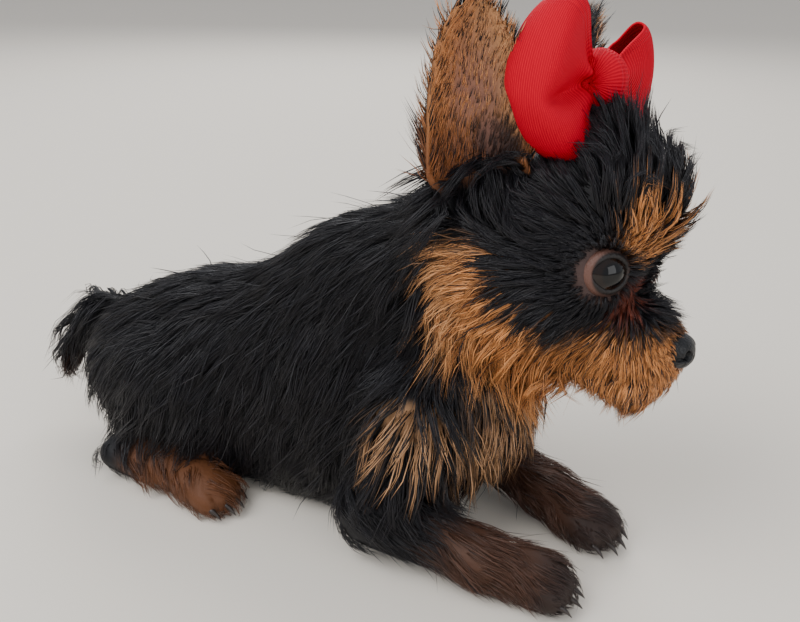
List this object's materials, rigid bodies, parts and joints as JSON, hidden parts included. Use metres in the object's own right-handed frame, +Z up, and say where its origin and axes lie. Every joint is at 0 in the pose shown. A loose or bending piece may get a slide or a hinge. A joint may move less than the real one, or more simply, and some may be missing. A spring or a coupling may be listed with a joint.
{
  "type": "yorkshire terrier",
  "caption": "Life-size Yorkshire terrier puppy lying with its head up, black and tan coat, ribbon bow on the crown.",
  "frame": {"origin": "on the floor, in the flat that the belly and chest rest on", "axes": "+X the way the puppy faces, +Y its left side, +Z up"},
  "size_m": [0.2249, 0.0912, 0.161],
  "materials": {
    "coat_black": "long silky hair",
    "coat_tan": "long silky hair",
    "eye_dark": "wet gloss",
    "nose_leather": "moist pebbled skin",
    "ribbon_red": "ribbed ribbon"
  },
  "bodies": {
    "root": {"torso": "coat_black", "neck": "coat_black", "head": "coat_black", "tail": "coat_black", "ear_left": "coat_tan", "ear_right": "coat_tan", "foreleg_left": "coat_tan", "foreleg_right": "coat_tan", "hindleg_left": "coat_tan", "hindleg_right": "coat_tan", "eye_left": "eye_dark", "eye_right": "eye_dark", "nose": "nose_leather", "bow_knot": "ribbon_red", "bow_loop_left": "ribbon_red", "bow_loop_right": "ribbon_red"}
  },
  "joints": []
}
